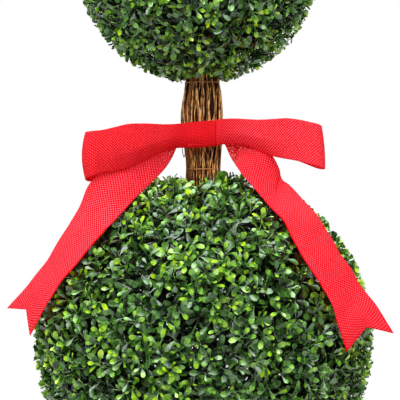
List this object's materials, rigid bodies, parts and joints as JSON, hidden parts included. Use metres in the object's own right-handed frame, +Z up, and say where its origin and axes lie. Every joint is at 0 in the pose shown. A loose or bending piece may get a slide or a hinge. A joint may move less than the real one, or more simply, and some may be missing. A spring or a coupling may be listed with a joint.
{
  "type": "artificial double-ball boxwood topiary",
  "caption": "Artificial boxwood topiary: a small leafy ball over a large one on a twig-wrapped stem in a plain pot, with a ribbon bow tied round the stem, for a doorway or patio.",
  "frame": {"origin": "centre of the pot's flat underside, on the surface that the pot stands on", "axes": "+Z up, -Y towards the bow's side, +X to the right when facing the bow"},
  "size_m": [0.4156, 0.3736, 1.0289],
  "materials": {
    "clay": "matt fired clay",
    "gravel": "small rounded pebbles over a cement plug",
    "pole_wood": "plain turned pole",
    "twig_wood": "dry bark on thin twigs",
    "wire": "thin brown binding wire",
    "foliage": "soft satin moulded leaves in mixed greens",
    "ribbon": "matt woven ribbon"
  },
  "bodies": {
    "root": {"pot": "clay", "pot_filling": "gravel", "center_pole": "pole_wood", "lower_stem_bundle": "twig_wood", "upper_stem_bundle": "twig_wood", "lower_bundle_tie_low": "wire", "lower_bundle_tie_high": "wire", "upper_bundle_tie_low": "wire", "upper_bundle_tie_high": "wire", "bow_tie_wire": "wire", "lower_ball": "foliage", "upper_ball": "foliage", "bow_left_loop": "ribbon", "bow_right_loop": "ribbon", "bow_left_tail": "ribbon", "bow_right_tail": "ribbon", "bow_knot": "ribbon"}
  },
  "joints": []
}
